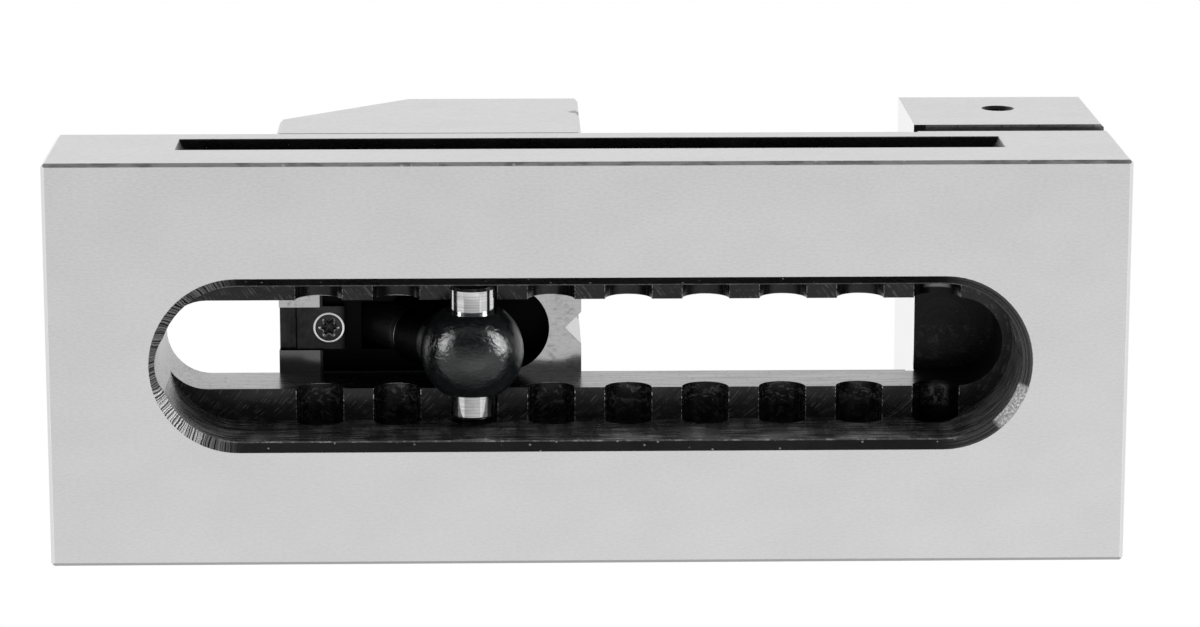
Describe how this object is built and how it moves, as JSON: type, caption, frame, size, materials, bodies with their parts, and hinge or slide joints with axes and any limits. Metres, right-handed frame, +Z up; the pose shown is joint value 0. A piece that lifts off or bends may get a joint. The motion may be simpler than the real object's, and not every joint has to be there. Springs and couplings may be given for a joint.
{
  "type": "screwless toolmaker's vise",
  "caption": "Low precision vise whose sliding jaw is drawn down by a tilting bolt with a ball nut that hooks cross pins into notches under the bed.",
  "frame": {"origin": "middle of the base on the surface that the vise stands on", "axes": "+X along the bed towards the fixed jaw, +Z up from the base to the jaws"},
  "size_m": [0.192, 0.073, 0.069],
  "materials": {
    "ground_steel": "surface ground",
    "black_steel": "black oxide, oiled",
    "pin_steel": "ground and polished"
  },
  "bodies": {
    "bed": {"vise_body": "ground_steel"},
    "jaw": {"movable_jaw": "ground_steel", "keeper_plate": "black_steel", "keeper_screw": "pin_steel"},
    "swivel": {"swivel_washer": "black_steel"},
    "bolt": {"draw_bolt": "black_steel"},
    "nut": {"ball_nut": "black_steel", "pivot_pin_left": "pin_steel", "pivot_pin_right": "pin_steel"}
  },
  "joints": [
    {"name": "jaw_slide", "type": "slide", "parent": "bed", "child": "jaw", "axis": [1, 0, 0], "range_m": [-0.028, 0.056]},
    {"name": "bolt_tilt", "type": "hinge", "parent": "jaw", "child": "swivel", "pos_m": [-0.05036, 0, 0.05435], "axis": [0, -1, 0], "range_deg": [0, 4.07]},
    {"name": "bolt_spin", "type": "hinge", "parent": "swivel", "child": "bolt", "pos_m": [-0.05036, 0, 0.05435], "axis": [0.5736, 0, -0.8192], "range_deg": [0, 1201]},
    {"name": "nut_lift", "type": "slide", "parent": "swivel", "child": "nut", "axis": [-0.5736, 0, 0.8192], "range_m": [0, 0.00418]}
  ],
  "couplings": [
    {"joint": "nut_lift", "follows": "bolt_spin", "m_per_rad": 0.00019894},
    {"joint": "bolt_tilt", "follows": "bolt_spin", "ratio": 0.0033849}
  ]
}
